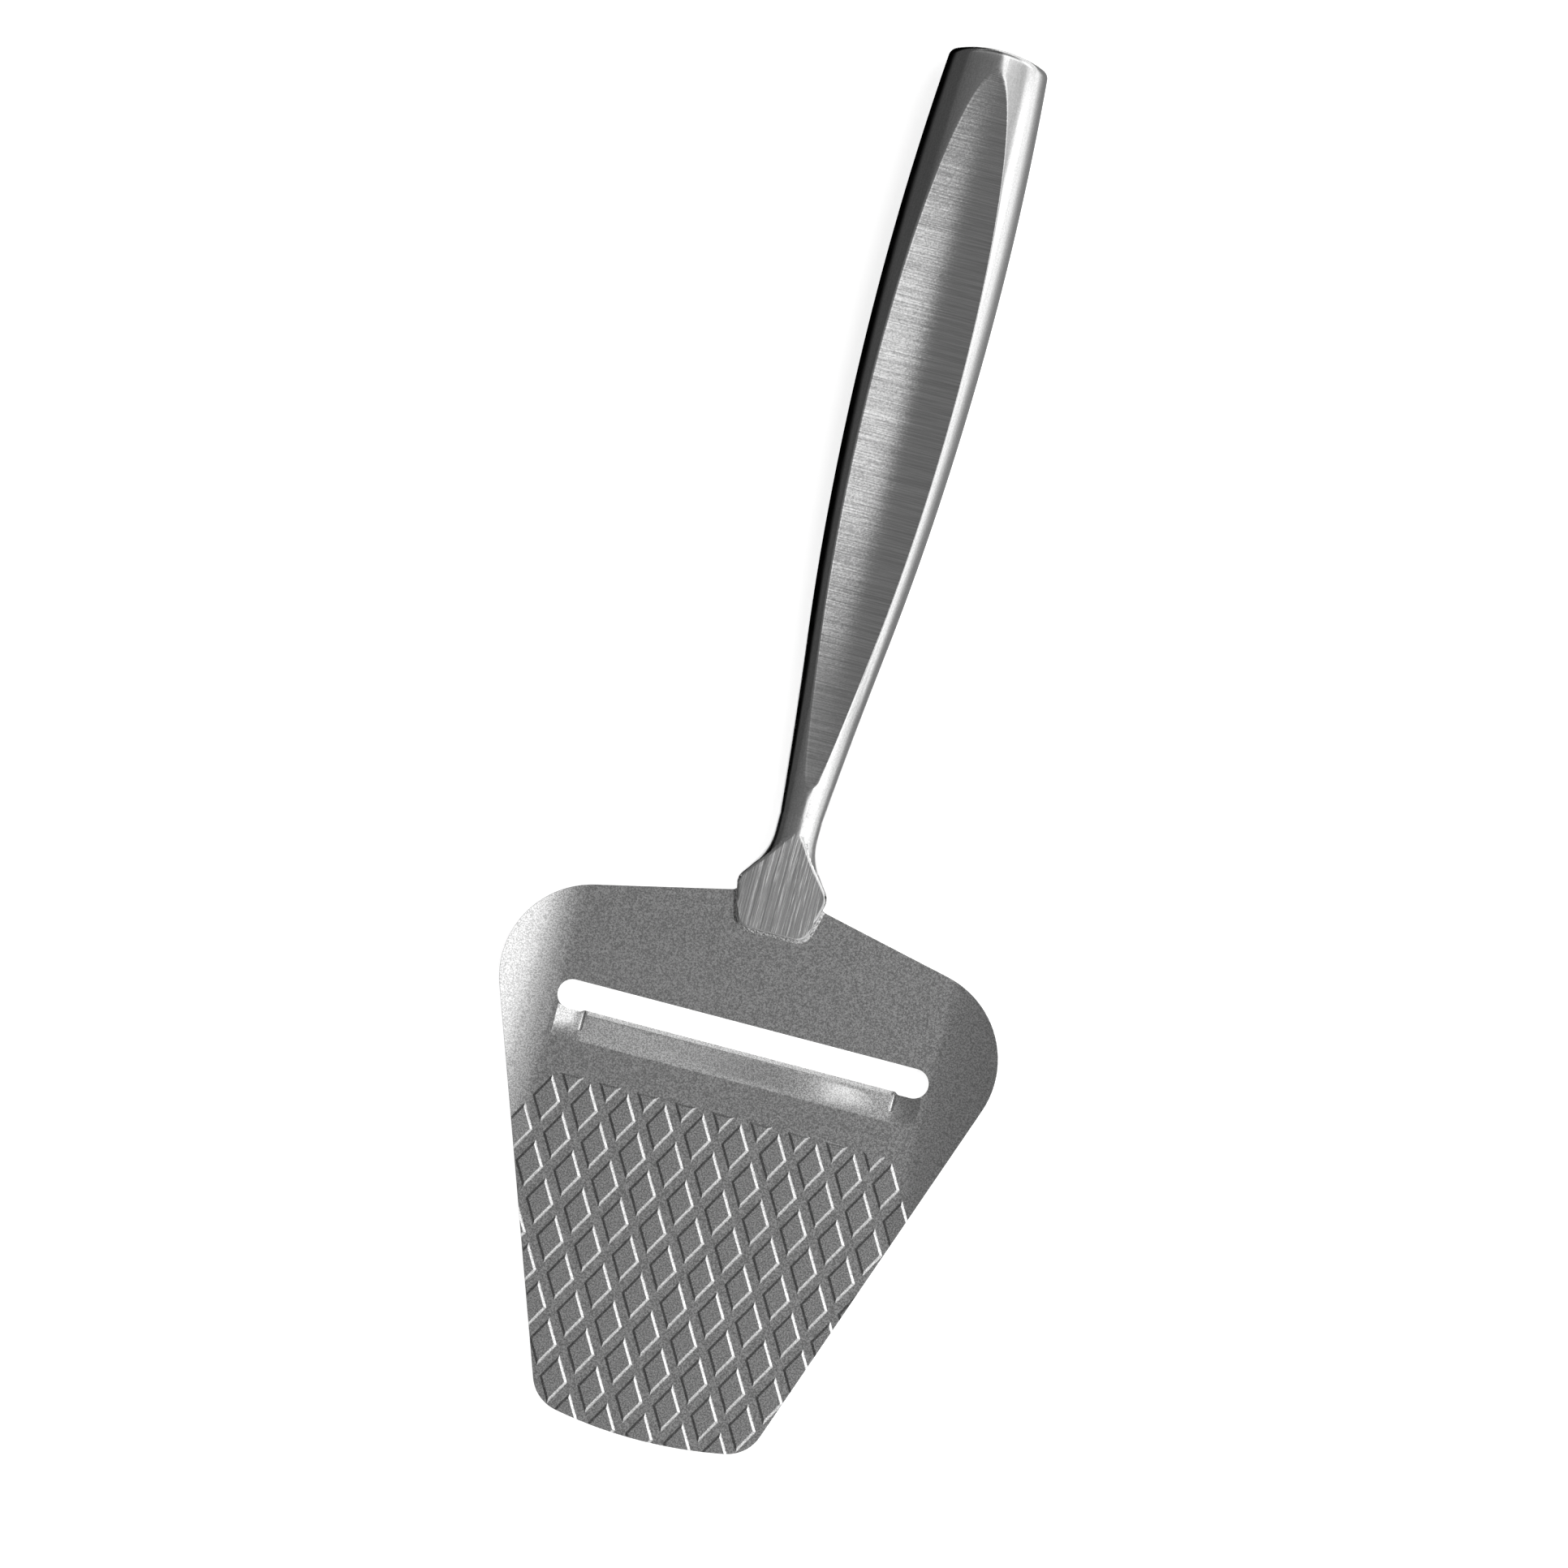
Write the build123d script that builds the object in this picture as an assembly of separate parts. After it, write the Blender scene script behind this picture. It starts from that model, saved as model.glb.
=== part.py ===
from build123d import *
from math import acos, asin, atan2, cos, degrees, hypot, pi, radians, sin, tan
import os

# Cheese slicer in stainless steel: a pressed sheet blade with a slicing slot and
# a diamond relief, a turned shank welded on the blade's back end, and a hollow
# handle pressed in two halves that closes round the shank's spigot.
# Millimetres. The blade lies level with its tip towards -Y, the handle runs
# towards +Y, and the side that the slices slide over faces +Z.

# Blade blank, measured from the edge of its back tab towards the tip
sheet_thickness = 1.25
blade_length = 94.7
tab_half_width = 7.0
tab_root_radius = 1.5
back_edge_slope = 12.8
shoulder_half_width = 47.4
shoulder_radius = 15.4
side_taper = 19.57
tip_bulge = 2.2
tip_corner_radius = 6.5

# Blade wings, curved upwards beyond the level middle
level_half_width = 31.3
wing_radius = 65.0

# Slicing slot, with its back edge measured from the tab's edge
slot_setback = 23.05
slot_half_length = 31.9
slot_width = 5.0

# Cutting lip, the strip on the tip side of the slot that is pressed down
lip_half_width = 26.8
lip_drop = 1.5
lip_run = 5.2
lip_land = 0.4
lip_step = 0.6
bevel_width = 0.75
bevel_height = 0.85
lip_bend_shares = (0.3, 0.12)
lip_end_steps = 4

# Short punched grooves at the lip's two ends, between two shares of its bend
groove_width = 0.7
groove_depth = 0.28
groove_shares = (0.4, 0.85)

# Diamond relief, pressed up from the underside
relief_setback = 38.6
relief_first_row = 37.8
relief_pitch = 6.5
relief_angle = 30.0
relief_strip = 1.52
relief_rise = 0.35
relief_flank = 0.4
relief_root = 0.15
relief_first_columns = 4
relief_margin_share = 0.25

# Shank, a turned bar with a palm that laps over the blade's tab
palm_lap = 7.46
tab_reach = 12.84
neck_radius = 3.76
neck_length = 6.2
flare_radius = 9.5
palm_corner_radius = 2.9
palm_half_width = 7.9
palm_corner_lead = 0.44
palm_end_half_width = 5.85
palm_end_radius = 2.3
palm_flat_start = 3.1
palm_flat_slope = 14.0
axis_rise = 2.75
spigot_length = 14.0
spigot_clearance = 0.05
spigot_chamfer = 0.6

# Weld bead round the palm
bead_width = 0.55
bead_crest_width = 0.055
bead_height = 0.6

# Handle along its own axis: the swell is measured from the mouth, the rest from the butt
handle_length = 132.0
handle_wall = 0.9
mouth_radius = 3.81
swell_station = 29.0
swell_radius = 6.72
belly_setback = 43.2
belly_radius = 10.09
crown_rise = 1.9
butt_radius = 8.4
butt_corner_radius = 1.0

# Flat panels on the handle's two faces: their distances from the axis
panel_mouth_height = 3.93
panel_butt_height = 8.57

# One overrun for all cuts
overrun = 2.0

# Heights above the surface that the slicer stands on: the lip and the butt touch it
underside_height = lip_drop
topside_height = underside_height + sheet_thickness
axis_height = topside_height + axis_rise
butt_station = handle_length - crown_rise
panel_reach = hypot(panel_butt_height, butt_station)
handle_pitch = degrees(acos(axis_height / panel_reach) - atan2(butt_station, panel_butt_height))

# Stations along Y: the middle of the whole length is at zero
belly_station = handle_length - belly_setback
crown_radius = (butt_radius**2 + crown_rise**2) / (2 * crown_rise)
rim_lean = (butt_radius - butt_corner_radius) * sin(radians(handle_pitch))
rim_reach = (handle_length - butt_corner_radius) * cos(radians(handle_pitch)) + butt_corner_radius
handle_reach = rim_reach + rim_lean
total_length = blade_length + tab_reach + handle_reach
tab_y = blade_length - total_length / 2
mouth_y = tab_y + tab_reach

blade_frame = Pos(0, tab_y, underside_height)
handle_frame = Pos(0, mouth_y, axis_height) * Rot(handle_pitch, 0, 0)

# Stations on the blade, measured in its own frame
slot_back_y = -slot_setback
slot_front_y = slot_back_y - slot_width
lip_edge_y = slot_front_y + lip_land
fold_y = lip_edge_y - lip_run


def back_edge_y(x):
    """Place of the blade's sloping back edge at a distance from the centre line."""
    return -x * tan(radians(back_edge_slope))


def side_half_width(y):
    """Half width between the blade's tapering sides at a station."""
    return shoulder_half_width - (back_edge_y(shoulder_half_width) - y) * tan(radians(side_taper))


def wing_rise(x):
    """Height that the wing's curve gains at a distance from the centre line."""
    out = max(abs(x) - level_half_width, 0)
    return wing_radius - (wing_radius**2 - out**2) ** 0.5


def wing_tilt(x):
    """Slope of the wing in degrees at a place left or right of the centre line."""
    out = max(abs(x) - level_half_width, 0)
    return -degrees(asin(out / wing_radius)) * (1 if x > 0 else -1)


def upright(face, low, high):
    """Solid that stands on a plan face between two heights."""
    return Pos(0, 0, low) * extrude(face, high - low, dir=(0, 0, 1))


def across(face, half_width):
    """Solid that a face in the YZ plane sweeps to both sides of the centre line."""
    return extrude(face, half_width, dir=(1, 0, 0)) + extrude(face, half_width, dir=(-1, 0, 0))


def side_face(*points):
    """Face with straight edges in the YZ plane, from (y, z) points."""
    return make_face(Polyline(*[(0, y, z) for y, z in points], close=True))


def rounded(face, x, y, radius):
    """Face with its corners nearest to (x, y) and its mirror place rounded."""
    corners = [face.vertices().sort_by_distance((side * x, y, 0))[0] for side in (-1, 1)]
    return fillet(corners, radius)


def blade_outline():
    """Plan face of the blank: tab, sloping shoulders, tapering sides and round tip."""
    tip_corner_y = tip_bulge - blade_length
    tip_half_width = side_half_width(tip_corner_y)
    shoulder_y = back_edge_y(shoulder_half_width)
    tab_root_y = back_edge_y(tab_half_width)
    half = [
        (tip_half_width, tip_corner_y),
        (shoulder_half_width, shoulder_y),
        (tab_half_width, tab_root_y),
        (tab_half_width, 0),
    ]
    sides = Polyline(*half, *[(-x, y) for x, y in reversed(half)])
    tip = ThreePointArc(sides @ 1, (0, -blade_length), sides @ 0)
    face = make_face(sides + tip)
    face = rounded(face, tab_half_width, tab_root_y, tab_root_radius)
    face = rounded(face, shoulder_half_width, shoulder_y, shoulder_radius)
    return rounded(face, tip_half_width, tip_corner_y, tip_corner_radius)


def wing_point(share, depth):
    """Point of the wing's section at a share of its sweep and a depth in the sheet."""
    sweep = asin((shoulder_half_width - level_half_width) / wing_radius) * share
    radius = wing_radius + depth
    return (level_half_width + radius * sin(sweep), sheet_thickness + wing_radius - radius * cos(sweep))


def sheet_section():
    """Section of the sheet across the blade: level in the middle, curved up outside."""
    end_shares, middle_share = (0, 1), 0.5
    top, low = [[wing_point(share, depth) for share in end_shares] for depth in (0, sheet_thickness)]
    edges = []
    for side in (-1, 1):
        for (start, end), depth in ((top, 0), (low, sheet_thickness)):
            through = wing_point(middle_share, depth)
            edges.append(ThreePointArc(*[(side * x, z) for x, z in (start, through, end)]))
        edges.append(Line((side * top[1][0], top[1][1]), (side * low[1][0], low[1][1])))
    for start, end in (top, low):
        edges.append(Line((-start[0], start[1]), (start[0], start[1])))
    return Plane.XZ * make_face(edges)


def lip_bend(drop, x, height):
    """Curve of one face of the lip at a place across it, from the fold to the edge."""
    along, down = lip_bend_shares
    reach = (0, along, 1 - along, 1)
    fall = (0, down, 1, 1)
    return Bezier(*[(x, fold_y + lip_run * r, height - drop * f) for r, f in zip(reach, fall)])


def lip_section(drop, x):
    """Section of the lip at a place across it, bent down from the fold to the edge."""
    top, low = lip_bend(drop, x, sheet_thickness), lip_bend(drop, x, 0)
    return make_face([top, low, Line(top @ 0, low @ 0), Line(top @ 1, low @ 1)])


def lip():
    """The bent strip: level with its pressed edge between, curving up to the sheet at its ends."""
    middle = extrude(lip_section(lip_drop, lip_half_width), 2 * lip_half_width, dir=(-1, 0, 0))
    sections = []
    for step in range(lip_end_steps + 1):
        share = step / lip_end_steps
        x = lip_half_width + (level_half_width - lip_half_width) * share
        sections.append(lip_section(lip_drop * cos(share * pi / 2), x))
    end = loft(sections)
    return middle + end + mirror(end, Plane.YZ)


def slot():
    """Cutter for the slot: round ends, and the lip's edge standing proud between."""
    centre_y = slot_back_y - slot_width / 2
    proud = Polyline(
        (-lip_half_width - lip_step, slot_front_y),
        (-lip_half_width, lip_edge_y),
        (lip_half_width, lip_edge_y),
        (lip_half_width + lip_step, slot_front_y),
        close=True,
    )
    plan = Pos(0, centre_y) * SlotOverall(2 * slot_half_length, slot_width) - make_face(proud)
    return upright(plan, -lip_drop - overrun, sheet_thickness + overrun)


def bevel():
    """Cutter that grinds the top of the lip's edge to a thin edge."""
    edge_top = sheet_thickness - lip_drop
    fall = bevel_height / bevel_width
    ground = side_face(
        (lip_edge_y - bevel_width, edge_top),
        (lip_edge_y + overrun, edge_top - bevel_height - overrun * fall),
        (lip_edge_y + overrun, edge_top + overrun),
    )
    return across(ground, lip_half_width)


def groove():
    """Cutter for one punched groove, a round channel that follows the bent lip."""
    radius = (groove_width**2 / 4 + groove_depth**2) / (2 * groove_depth)
    height = sheet_thickness + radius - groove_depth
    path = lip_bend(lip_drop, lip_half_width, height).trim(*groove_shares)
    channel = sweep(Plane(path @ 0, z_dir=path % 0) * Circle(radius), path)
    ends = [Pos(*(path @ share)) * Sphere(radius) for share in (0, 1)]
    return channel + ends


def diamond(inset, height, trim):
    """Rhombus face of the relief at a height, drawn in by an inset, its back cut off by a trim."""
    turn = radians(relief_angle)
    half_across = relief_pitch / 2 - (relief_strip / 2 + inset) / cos(turn)
    half_along = half_across / tan(turn)
    points = [(half_across, 0), (0, half_along), (-half_across, 0), (0, -half_along)]
    face = make_face(Polyline(*points, close=True))
    front = Pos(0, trim - inset - relief_pitch) * Rectangle(2 * relief_pitch, 2 * relief_pitch)
    return Pos(0, 0, height) * (face & front)


def stud(trim):
    """One raised diamond with sloping flanks, carried on down into the sheet."""
    spread = relief_flank * relief_root / relief_rise
    return loft([diamond(-spread, -relief_root, trim), diamond(relief_flank, relief_rise, trim)], ruled=True)


def relief_places():
    """Centres of the diamonds: staggered rows that widen, then follow the sides."""
    row_pitch = relief_pitch / 2 / tan(radians(relief_angle))
    rows = int((blade_length - relief_first_row) / row_pitch) + 1
    places = []
    for row in range(rows):
        y = -relief_first_row - row * row_pitch
        columns = relief_first_columns + row / 2
        reach = side_half_width(y) + relief_pitch * relief_margin_share
        while columns * relief_pitch > reach:
            columns -= 1
        count = int(2 * columns) + 1
        places += [((i - columns) * relief_pitch, y) for i in range(count) if columns >= 0]
    return places


def relief(plan, surface_height):
    """The diamonds set on the sheet's curve at a height, trimmed to the blade's outline."""
    whole = stud(relief_pitch)
    cut = stud(relief_first_row - relief_setback)
    field = upright(plan, -sheet_thickness, wing_radius)
    studs = []
    for x, y in relief_places():
        seat = Pos(x, y, surface_height + wing_rise(x)) * Rot(0, wing_tilt(x), 0)
        proto = cut if y > -relief_setback else whole
        studs += (seat * proto & field).solids()
    return studs


def slicing_plate():
    """The blade, pressed from sheet: wings, slot, lip, grooves and diamond relief."""
    plan = blade_outline()
    sheet = extrude(sheet_section(), blade_length + overrun, dir=(0, -1, 0))
    blank = sheet & upright(plan, -overrun, wing_radius)
    window_y = (lip_edge_y + fold_y) / 2
    window = Pos(0, window_y) * Rectangle(2 * level_half_width, lip_run)
    blank = blank - upright(window, -overrun, sheet_thickness + overrun)
    blank = blank + lip()
    blank = blank - slot() - bevel()
    for side in (groove(), mirror(groove(), Plane.YZ)):
        blank = blank - side
    blank = blank - relief(plan, 0)
    blank = blank + relief(plan, sheet_thickness)
    return blade_frame * blank


def shank_profile():
    """Half section of the shank along the handle's axis, from spigot to palm end."""
    palm_corner_y = palm_corner_lead - tab_reach
    palm_end_y = -tab_reach - palm_lap
    spigot_radius = mouth_radius - handle_wall - spigot_clearance
    points = [
        (0, spigot_length),
        (spigot_radius - spigot_chamfer, spigot_length),
        (spigot_radius, spigot_length - spigot_chamfer),
        (spigot_radius, 0),
        (mouth_radius, 0),
        (neck_radius, -neck_length),
        (palm_half_width, palm_corner_y),
        (palm_end_half_width, palm_end_y),
        (0, palm_end_y),
    ]
    radii = (0, 0, 0, 0, flare_radius, palm_corner_radius, palm_end_radius)
    path = FilletPolyline(*points, radius=radii)
    return make_face(path + Line(points[-1], points[0]))


def palm_outline():
    """Plan face of the palm where it laps over the blade, in the blade's frame."""
    half = Pos(0, tab_reach) * shank_profile()
    whole = half + mirror(half, Plane.YZ)
    lap = Pos(0, -palm_lap / 2) * Rectangle(2 * shoulder_half_width, palm_lap)
    return whole & lap


def palm_flat():
    """Cutter over the palm: the flat that slopes down from the neck to the palm's end."""
    fall = tan(radians(palm_flat_slope))
    far = tab_reach + palm_lap + overrun
    low = neck_radius - (far - palm_flat_start) * fall
    high = neck_radius + palm_flat_start * fall
    top = palm_half_width + overrun
    return across(side_face((-far, low), (0, high), (0, top), (-far, top)), palm_half_width + overrun)


def shank():
    """The turned bar with its palm milled flat above, seated on the blade below."""
    bar = handle_frame * revolve(shank_profile(), Axis.Y)
    lap = Pos(0, tab_y) * upright(palm_outline(), topside_height, axis_height)
    body = bar + lap - handle_frame * palm_flat()
    reach = tab_reach + palm_lap + overrun
    depth = palm_half_width + overrun
    wide = 2 * depth
    below_palm = Pos(0, tab_y - reach / 2, topside_height - depth / 2) * Box(wide, reach, depth)
    below_neck = Pos(0, tab_y, underside_height - depth / 2) * Box(wide, 2 * reach, depth)
    return body - below_palm - below_neck


def palm_weld(seat):
    """Weld bead round the palm on the blade, with the palm itself left out of it."""
    palm = palm_outline()
    foot = offset(palm, bead_width, kind=Kind.ARC)
    crest = offset(palm, bead_crest_width, kind=Kind.ARC)
    bead = loft([foot, Pos(0, 0, bead_height) * crest], ruled=True)
    field = upright(blade_outline(), 0, bead_height)
    bead = Pos(0, tab_y, topside_height) * (bead & field)
    return bead - seat


def handle_profile(inset):
    """Half section of the handle's outside, or of its hollow when inset by the wall."""
    mouth = (mouth_radius - inset, 0)
    swell = (swell_radius - inset, swell_station)
    belly = (belly_radius - inset, belly_station)
    butt = (butt_radius - inset, butt_station)
    start_y = -overrun if inset else 0
    bulge = TangentArc(belly, swell, tangent=(0, -1))
    back = TangentArc(belly, butt, tangent=(0, 1))
    end = back @ 1 + back % 1 * (crown_rise + overrun)
    edges = [
        TangentArc(swell, mouth, tangent=bulge % 1),
        bulge,
        back,
        Polyline(butt, (end.X, end.Y), (0, end.Y), (0, start_y), (mouth[0], start_y)),
    ]
    if inset:
        edges.append(Line((mouth[0], start_y), mouth))
    return make_face(edges)


def crown_cut(inset):
    """Cutter behind the crowned butt, or behind the hollow's end."""
    end = handle_length - inset
    reach = crown_rise + overrun
    width = 2 * (belly_radius + overrun)
    crown = Pos(0, end - crown_radius) * Cylinder(crown_radius, width)
    return Pos(0, end) * Box(width, 2 * reach, width) - crown


def panel_cut(inset):
    """Cutter above the handle's flat panel, or above the panel's inner face."""
    slope = (panel_butt_height - panel_mouth_height) / butt_station
    far = handle_length + overrun
    low = panel_mouth_height - inset - overrun * slope
    high = panel_mouth_height - inset + far * slope
    top = belly_radius + overrun
    return across(side_face((-overrun, low), (far, high), (far, top), (-overrun, top)), top)


def handle_form(inset):
    """The handle's round body with a flat panel above and below and a crowned butt."""
    body = revolve(handle_profile(inset), Axis.Y) - crown_cut(inset)
    if not inset:
        rim = body.faces().sort_by(Axis.Y)[-1].edges()
        body = fillet(rim, butt_corner_radius)
    above = panel_cut(inset)
    return body - above - mirror(above, Plane.XY)


def handle_shells():
    """The two pressed halves of the hollow handle, alike, front above and rear below."""
    shell = handle_form(0) - handle_form(handle_wall)
    half = split(shell, bisect_by=Plane.XY, keep=Keep.TOP)
    return handle_frame * half, handle_frame * mirror(half, Plane.XY)


def main():
    """Make each piece and write it to its own file."""
    bar = shank()
    front, rear = handle_shells()
    pieces = {
        "slicing_plate": slicing_plate(),
        "shank": bar,
        "palm_weld": palm_weld(bar),
        "handle_front_shell": front,
        "handle_rear_shell": rear,
    }
    os.makedirs("parts", exist_ok=True)
    for name, piece in pieces.items():
        export_step(piece, f"parts/{name}.step")
        print(name, len(piece.solids()), "solid", round(piece.volume), "mm3")


main()
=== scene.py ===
"""Dresses the cheese slicer: its metal finishes, its finer forms and a plain studio."""

import logging
from dataclasses import dataclass
from enum import Enum
from math import acos, asin, atan2, cos, cosh, hypot, log, pi, radians, sin, sqrt, tan

import bmesh
import bpy
from mathutils import Matrix, Vector

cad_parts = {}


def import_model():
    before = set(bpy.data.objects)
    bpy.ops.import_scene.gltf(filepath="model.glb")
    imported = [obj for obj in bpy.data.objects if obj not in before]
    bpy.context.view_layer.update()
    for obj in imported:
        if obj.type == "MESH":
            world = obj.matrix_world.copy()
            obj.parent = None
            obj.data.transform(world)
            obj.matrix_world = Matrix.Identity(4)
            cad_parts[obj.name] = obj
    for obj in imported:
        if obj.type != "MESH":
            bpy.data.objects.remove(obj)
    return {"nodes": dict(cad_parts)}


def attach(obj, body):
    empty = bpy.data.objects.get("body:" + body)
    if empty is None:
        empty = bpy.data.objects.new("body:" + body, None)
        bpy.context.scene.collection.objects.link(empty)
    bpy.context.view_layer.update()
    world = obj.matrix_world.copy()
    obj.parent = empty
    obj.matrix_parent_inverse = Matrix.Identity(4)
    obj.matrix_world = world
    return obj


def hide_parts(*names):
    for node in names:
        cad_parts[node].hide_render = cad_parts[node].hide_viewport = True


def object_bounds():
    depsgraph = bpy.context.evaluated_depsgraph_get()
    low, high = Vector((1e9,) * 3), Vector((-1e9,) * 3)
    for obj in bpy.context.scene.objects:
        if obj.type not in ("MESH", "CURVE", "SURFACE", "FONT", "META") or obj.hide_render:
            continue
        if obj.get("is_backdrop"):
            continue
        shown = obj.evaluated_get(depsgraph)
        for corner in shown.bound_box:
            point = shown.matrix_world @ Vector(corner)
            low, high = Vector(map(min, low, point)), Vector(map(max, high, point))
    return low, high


Socket = bpy.types.NodeSocket
Value = Socket | Vector | float | tuple[float, ...]
Point = tuple[float, float]
Span = tuple[float, float]
Place = tuple[float, float, float]
Layers = tuple[Socket, Socket, Socket]
Skin = list[list[bmesh.types.BMVert]]

LOG = logging.getLogger("slicer")
MM = 0.001
WHITE = (1.0, 1.0, 1.0, 1.0)
HALF_TURN = 180.0

# The range that a noise keeps to almost everywhere, and the middle of a share from 0 to 1.
NOISE_RANGE = (0.3, 0.7)
MIDDLE = 0.5

# Number of samples that tell how an edge rounds.
BEVEL_SAMPLES = 4

# Name of the mesh value that tells how far inside the panel a point lies, in millimetres.
PANEL_REACH = "panel_reach"

# The directions that the blade and the palm's flat look in; the palm leans towards the tip.
UP = Vector((0.0, 0.0, 1.0))
PALM_TILT = radians(15.35)
PALM_UP = Vector((0.0, -sin(PALM_TILT), cos(PALM_TILT)))


class Side(Enum):
    """The two halves of the handle, as the sign of their height."""

    FRONT = 1
    REAR = -1


class Run(Enum):
    """Ways in which a finish's marks run, as the axes along which they are drawn out."""

    EVEN = (False, False, False)
    ALONG = (False, True, False)
    ALONG_SLOPE = (False, True, True)
    ACROSS = (True, False, True)


def clamped(share: float) -> float:
    """The share kept from 0 to 1."""
    return min(max(share, 0.0), 1.0)


class Graph:
    """A node tree that is written from scratch, one call for each node."""

    def __init__(self, owner: bpy.types.ID) -> None:
        """Empty the owner's node tree.

        Args:
            owner: A material or a world.
        """
        owner.use_nodes = True
        self.tree = owner.node_tree
        self.tree.nodes.clear()

    def add(
        self, kind: str, settings: dict[str, object] | None = None, **inputs: Value
    ) -> bpy.types.Node:
        """Add a node and fill its sockets.

        Args:
            kind: The node's type.
            settings: The node's own properties.
            inputs: Values or sockets by socket name, with _ for a space, or by place as in0, in1.

        Returns:
            The new node.
        """
        node = self.tree.nodes.new(kind)
        for name, value in (settings or {}).items():
            setattr(node, name, value)
        for name, value in inputs.items():
            place = name.removeprefix("in")
            self.feed(node.inputs[int(place) if place.isdigit() else name.replace("_", " ")], value)
        return node

    def feed(self, socket: Socket, value: Value) -> None:
        """Link a socket to another one, or set its value.

        Args:
            socket: The input socket.
            value: An output socket or a plain value.
        """
        if isinstance(value, Socket):
            self.tree.links.new(value, socket)
        else:
            socket.default_value = value

    def math(self, operation: str, first: Value, second: Value = 0.0, third: Value = 0.0) -> Socket:
        """Work out a number from up to three others.

        Args:
            operation: The math node's operation.
            first: A number or a socket.
            second: A number or a socket.
            third: A number or a socket.

        Returns:
            The result's socket.
        """
        settings = {"operation": operation}
        return self.add("ShaderNodeMath", settings, in0=first, in1=second, in2=third).outputs[0]

    def vector(
        self, operation: str, first: Value, second: Value = (0.0, 0.0, 0.0)
    ) -> bpy.types.Node:
        """Add a vector math node.

        Args:
            operation: The node's operation.
            first: A vector or a socket.
            second: A vector or a socket.

        Returns:
            The node.
        """
        return self.add("ShaderNodeVectorMath", {"operation": operation}, in0=first, in1=second)

    def remap(
        self, value: Value, low: float, high: float, to_low: float = 0.0, to_high: float = 1.0
    ) -> Socket:
        """Move a value from one range to another, smoothly and kept inside.

        Args:
            value: A number or a socket.
            low: The value that becomes to_low.
            high: The value that becomes to_high.
            to_low: Where the new range starts.
            to_high: Where the new range ends.

        Returns:
            The result's socket.
        """
        inputs = {"Value": value, "From_Min": low, "From_Max": high, "To_Min": to_low, "To_Max": to_high}
        node = self.add("ShaderNodeMapRange", {"interpolation_type": "SMOOTHSTEP"}, **inputs)
        return node.outputs["Result"]

    def place(self, stretch: Place = (1.0, 1.0, 1.0)) -> Socket:
        """Place on the object in millimetres, divided by a stretch along each axis.

        Args:
            stretch: How many times longer a pattern becomes along X, Y and Z.

        Returns:
            The place's socket.
        """
        coords = self.add("ShaderNodeTexCoord").outputs["Object"]
        scale = tuple(1 / (MM * each) for each in stretch)
        return self.vector("MULTIPLY", coords, scale).outputs[0]

    def parts(self, vector: Socket) -> bpy.types.NodeOutputs:
        """The three numbers of a vector, by the names X, Y and Z."""
        return self.add("ShaderNodeSeparateXYZ", None, Vector=vector).outputs

    def bump(self, height: Socket, depth: Value, normal: Socket | None = None) -> Socket:
        """Normal of a surface with a fine relief.

        Args:
            height: The relief from 0 to 1.
            depth: Its depth in metres.
            normal: The normal that it starts from, or none for the surface's own.

        Returns:
            The normal's socket.
        """
        inputs: dict[str, Value] = {"Height": height, "Distance": depth}
        if normal is not None:
            inputs["Normal"] = normal
        return self.add("ShaderNodeBump", None, **inputs).outputs["Normal"]

    def rounded(self, radius: float) -> Socket:
        """Normal of a surface whose edges look rounded.

        Args:
            radius: The rounding in millimetres.

        Returns:
            The normal's socket.
        """
        return self.add("ShaderNodeBevel", {"samples": BEVEL_SAMPLES}, Radius=radius * MM).outputs[0]

    def blend(self, share: Socket, first: Value, second: Value) -> Socket:
        """Number that goes from one value to another.

        Args:
            share: 0 for the first value, 1 for the second.
            first: A number or a socket.
            second: A number or a socket.

        Returns:
            The result's socket.
        """
        return self.add("ShaderNodeMix", None, Factor=share, in2=first, in3=second).outputs[0]

    def blend_vector(self, share: Socket, first: Value, second: Value) -> Socket:
        """Vector that goes from one to another.

        Args:
            share: 0 for the first vector, 1 for the second.
            first: A vector or a socket.
            second: A vector or a socket.

        Returns:
            The result's socket.
        """
        settings = {"data_type": "VECTOR"}
        return self.add("ShaderNodeMix", settings, Factor=share, in4=first, in5=second).outputs[1]

    def around(self, value: Socket, spread: float, middle: float = 1.0) -> Socket:
        """Spread a noise's usual range evenly about a middle value.

        Args:
            value: The noise from 0 to 1.
            spread: How far the result goes up and down, as a share of the middle.
            middle: The middle value.

        Returns:
            The result's socket.
        """
        return self.remap(value, *NOISE_RANGE, middle * (1 - spread), middle * (1 + spread))

    def facing(self, direction: Vector, low: float, high: float) -> Socket:
        """How far the surface faces a direction.

        Args:
            direction: The direction, one long.
            low: Cosine that gives 0.
            high: Cosine that gives 1.

        Returns:
            The share's socket.
        """
        normal = self.add("ShaderNodeTexCoord").outputs["Normal"]
        return self.remap(self.vector("DOT_PRODUCT", normal, direction).outputs["Value"], low, high)

    def metal(self, shade: Socket, roughness: Socket, normal: Socket) -> None:
        """End the tree in bare steel.

        Args:
            shade: Level of grey.
            roughness: Roughness.
            normal: Normal.
        """
        grey = self.add("ShaderNodeCombineColor", None, Red=shade, Green=shade, Blue=shade).outputs[0]
        inputs = {"Base_Color": grey, "Roughness": roughness, "Normal": normal, "Metallic": 1.0}
        shader = self.add("ShaderNodeBsdfPrincipled", None, **inputs)
        self.add("ShaderNodeOutputMaterial", None, Surface=shader.outputs[0])


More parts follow.
